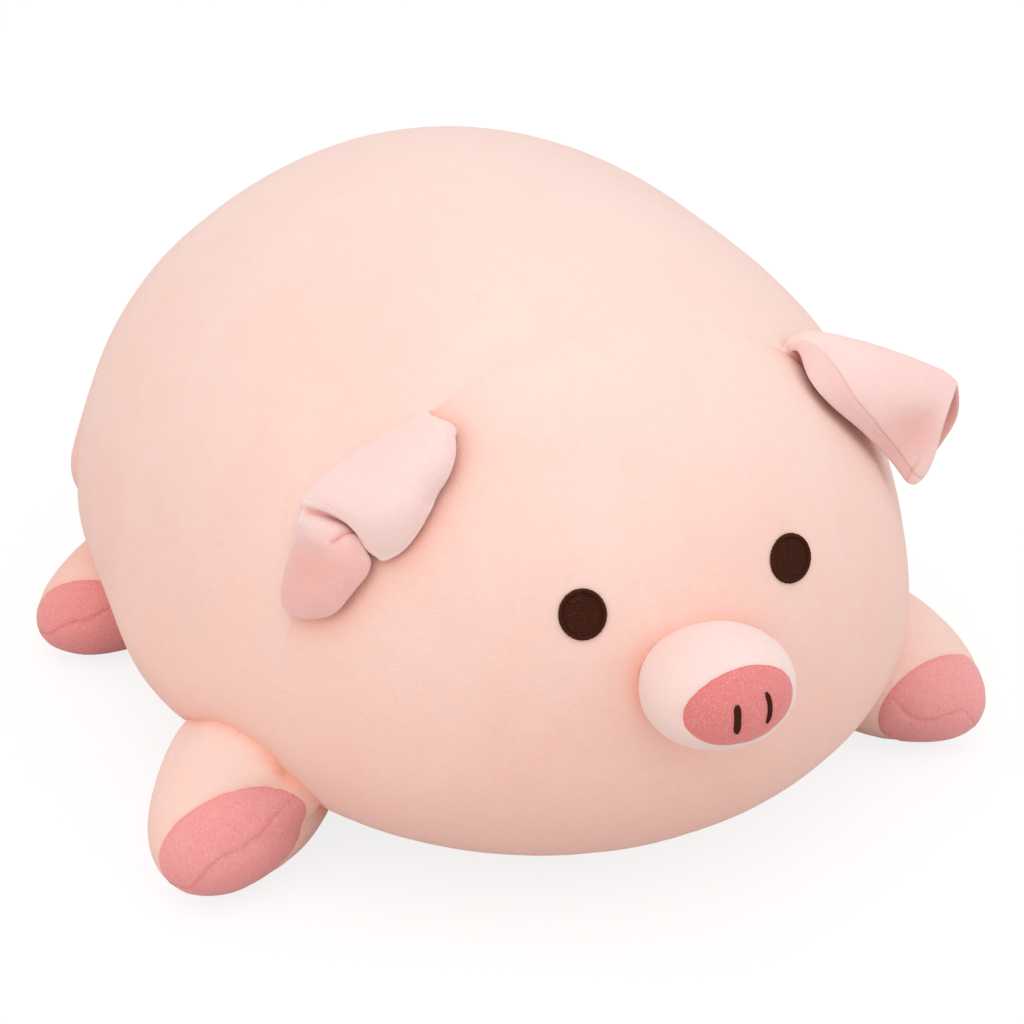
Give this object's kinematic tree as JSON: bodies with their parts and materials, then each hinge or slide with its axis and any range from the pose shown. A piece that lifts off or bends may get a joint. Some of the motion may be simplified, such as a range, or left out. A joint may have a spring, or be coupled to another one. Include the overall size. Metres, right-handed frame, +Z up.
{
  "type": "plush pig",
  "caption": "Soft stuffed pig lying flat on its belly, with a round plump body, bun-shaped snout, stitched eyes, flopping ears, short splayed feet and a small curled tail.",
  "frame": {"origin": "on the flat of the belly that rests on the floor, under the body's widest section", "axes": "+Z up; -Y the way the snout points; +X the pig's left side"},
  "size_m": [0.4376, 0.5662, 0.2926],
  "materials": {
    "body_plush": "short-pile plush",
    "snout_plush": "short-pile plush",
    "coral_plush": "short-pile plush",
    "ear_lining": "short-pile plush",
    "brown_thread": "satin-stitch thread",
    "fibre_filling": "loose polyester fibre"
  },
  "bodies": {
    "body": {"face_cover": "body_plush", "back_cover": "body_plush", "rump_cover": "body_plush", "belly_cover": "body_plush", "body_stuffing": "fibre_filling", "snout_cover": "snout_plush", "snout_stuffing": "fibre_filling", "nose_panel": "coral_plush", "nostril_left": "brown_thread", "nostril_right": "brown_thread", "eye_left": "brown_thread", "eye_right": "brown_thread", "front_left_leg": "body_plush", "front_left_hoof_upper": "coral_plush", "front_left_hoof_lower": "coral_plush", "front_left_stuffing": "fibre_filling", "front_right_leg": "body_plush", "front_right_hoof_upper": "coral_plush", "front_right_hoof_lower": "coral_plush", "front_right_stuffing": "fibre_filling", "rear_left_leg": "body_plush", "rear_left_hoof_upper": "coral_plush", "rear_left_hoof_lower": "coral_plush", "rear_left_stuffing": "fibre_filling", "rear_right_leg": "body_plush", "rear_right_hoof_upper": "coral_plush", "rear_right_hoof_lower": "coral_plush", "rear_right_stuffing": "fibre_filling"},
    "ear_left": {"ear_left_outer": "body_plush", "ear_left_inner": "ear_lining"},
    "ear_right": {"ear_right_outer": "body_plush", "ear_right_inner": "ear_lining"},
    "tail": {"tail": "body_plush"}
  },
  "joints": [
    {"name": "ear_left_fold", "type": "hinge", "parent": "body", "child": "ear_left", "pos_m": [0.10898, -0.10996, 0.23001], "axis": [-0.7423, 0.0029, 0.6701], "range_deg": [-10, 70], "stiffness_Nm_per_rad": 0.01},
    {"name": "ear_right_fold", "type": "hinge", "parent": "body", "child": "ear_right", "pos_m": [-0.11466, -0.11005, 0.22489], "axis": [-0.7115, -0.0024, -0.7027], "range_deg": [0, 70], "stiffness_Nm_per_rad": 0.01},
    {"name": "tail_sway", "type": "hinge", "parent": "body", "child": "tail", "pos_m": [0, 0.27958, 0.11751], "axis": [0, 0, 1], "range_deg": [-20, 20], "stiffness_Nm_per_rad": 0.002}
  ]
}
